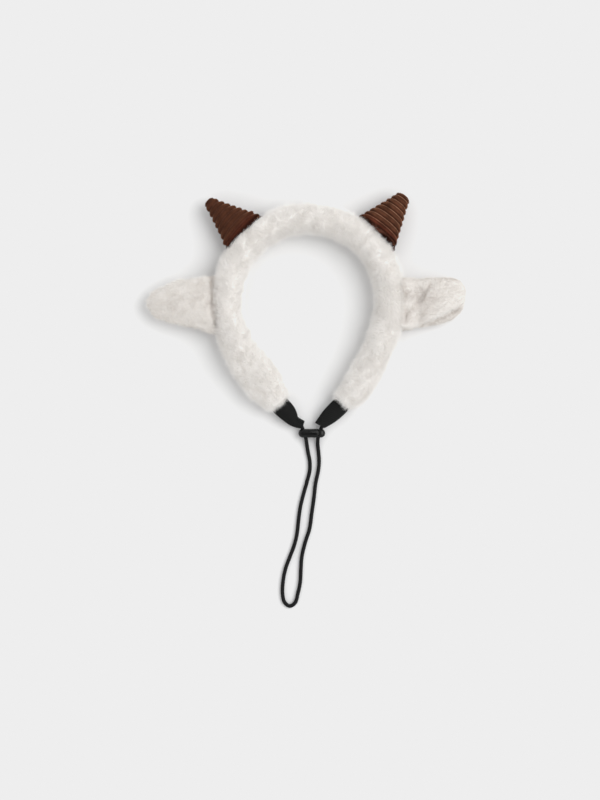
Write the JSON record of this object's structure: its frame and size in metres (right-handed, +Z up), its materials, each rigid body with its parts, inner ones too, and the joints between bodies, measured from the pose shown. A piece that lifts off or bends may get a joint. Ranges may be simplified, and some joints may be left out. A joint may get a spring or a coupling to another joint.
{
  "type": "sheep horns headband",
  "caption": "padded faux fur headband, open below, with stuffed corduroy horns, plush ears, ribbon tabs and an elastic chin cord drawn up by a sliding cord lock",
  "frame": {"origin": "middle of the headband's box without its cord, on the surface that it lies on", "axes": "+Z up from the surface, +X from the left ear to the right ear, +Y from the open end to the top between the horns"},
  "size_m": [0.2734, 0.3557, 0.0282],
  "materials": {
    "fur": "short curly off-white faux fur",
    "corduroy": "wide-wale corduroy with a soft nap",
    "ribbon": "ribbed woven ribbon",
    "elastic": "braided cover over rubber",
    "lock": "moulded, half gloss"
  },
  "bodies": {
    "root": {"band": "fur", "horn_left": "corduroy", "horn_right": "corduroy", "ear_left": "fur", "ear_right": "fur", "tab_left": "ribbon", "tab_right": "ribbon", "cord_lock": "lock", "cord": "elastic"}
  },
  "joints": []
}
